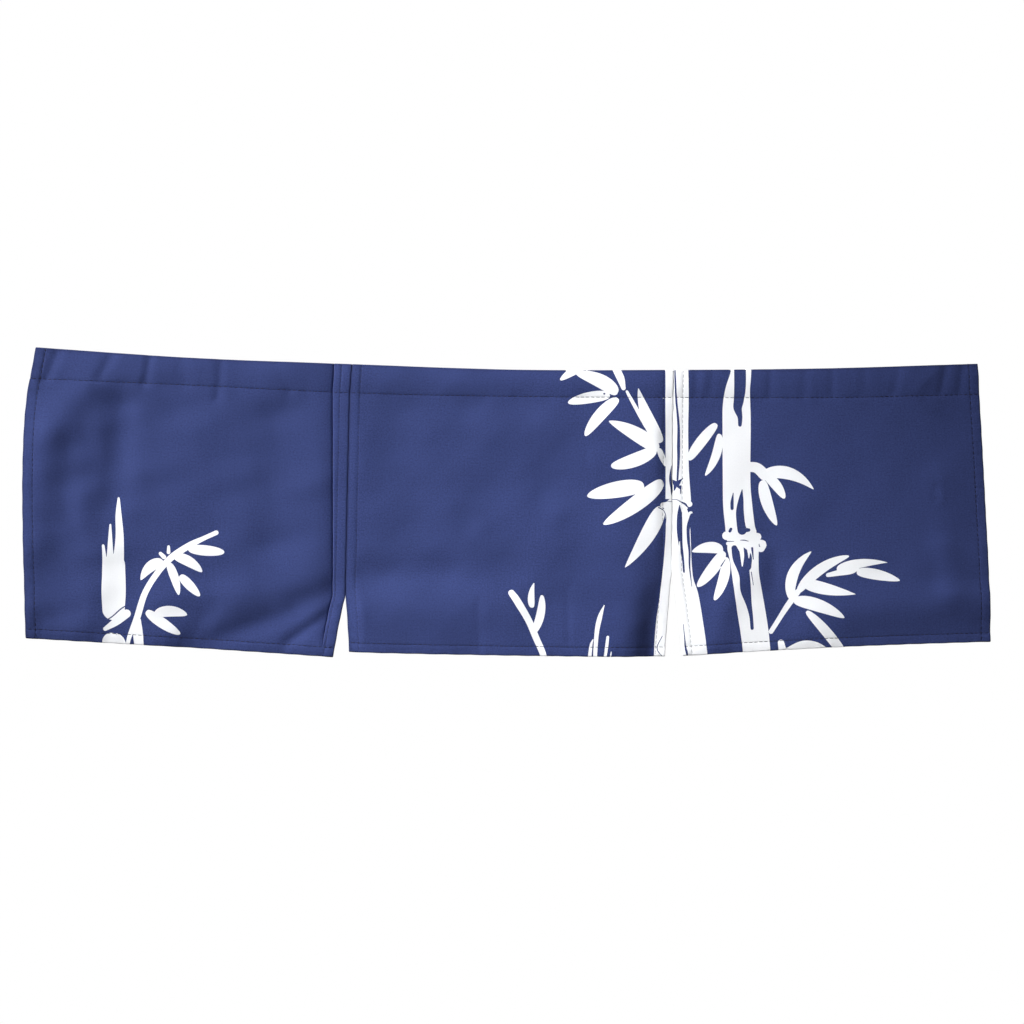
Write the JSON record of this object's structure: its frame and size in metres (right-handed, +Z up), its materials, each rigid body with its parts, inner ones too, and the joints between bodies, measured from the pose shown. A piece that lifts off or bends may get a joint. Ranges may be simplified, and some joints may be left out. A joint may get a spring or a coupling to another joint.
{
  "type": "noren curtain",
  "caption": "Short split doorway curtain of printed cloth panels side by side, each with a turned-over rod pocket along its top and slits between them that open near the hem.",
  "frame": {"origin": "middle of the curtain's top edge, on the cloth's front layer, where it is hung", "axes": "+Z up, +X along the top edge to the right as seen from the front, -Y out of the printed front"},
  "size_m": [0.8538, 0.0159, 0.2716],
  "materials": {
    "printed_cloth": "matt woven cotton in navy blue with a white bamboo print"
  },
  "bodies": {
    "root": {"panel_left": "printed_cloth", "panel_middle": "printed_cloth", "panel_right": "printed_cloth"}
  },
  "joints": []
}
